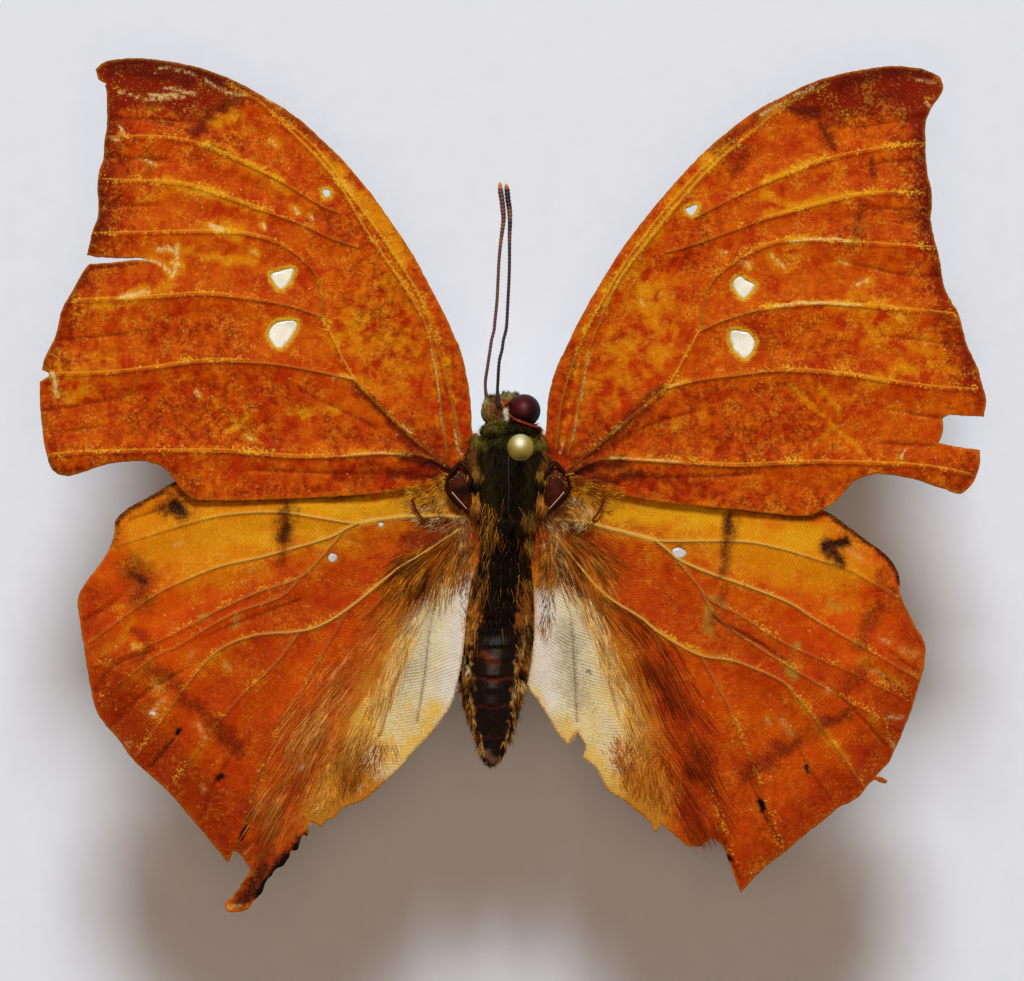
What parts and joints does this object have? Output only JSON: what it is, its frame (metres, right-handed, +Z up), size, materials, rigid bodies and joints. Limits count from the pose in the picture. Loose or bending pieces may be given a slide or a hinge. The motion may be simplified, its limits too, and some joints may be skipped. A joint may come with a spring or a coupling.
{
  "type": "pinned leafwing butterfly specimen",
  "caption": "Spread museum specimen of a zaretis leafwing butterfly, dorsal side up, held on its pearl-headed pin over a small plain block.",
  "frame": {"origin": "centre of the block's underside, on the surface that the specimen stands on", "axes": "+X to the butterfly's right, +Y forward to its head, +Z up along the pin"},
  "size_m": [0.0613, 0.0554, 0.0402],
  "materials": {
    "stand_block": "flat off-white paint",
    "pin_steel": "blackened, satin",
    "pin_pearl": "pearly yellow-green, glossy",
    "thorax_fur": "short dark olive fur",
    "head_fur": "short olive-brown fur",
    "eyes": "dark maroon, glossy",
    "antennae": "dark brown, satin",
    "abdomen_shell": "glossy dark brown segments with ochre hair at the sides",
    "legs": "scaled, matt brown",
    "forewings": "matt orange scales, red-brown at the tip and outer margin, two clear windows",
    "hindwings": "matt orange scales with long hair, cream inner margin"
  },
  "bodies": {
    "root": {"stand_base": "stand_block", "stand_pin": "pin_steel", "stand_pin_head": "pin_pearl", "thorax": "thorax_fur", "head": "head_fur", "eye_left": "eyes", "eye_right": "eyes", "palp_left": "head_fur", "palp_right": "head_fur", "antenna_left": "antennae", "antenna_right": "antennae", "abdomen": "abdomen_shell", "leg_fore_left": "legs", "leg_fore_right": "legs", "leg_mid_left": "legs", "leg_mid_right": "legs", "leg_hind_left": "legs", "leg_hind_right": "legs", "forewing_left": "forewings", "forewing_right": "forewings", "hindwing_left": "hindwings", "hindwing_right": "hindwings"}
  },
  "joints": []
}
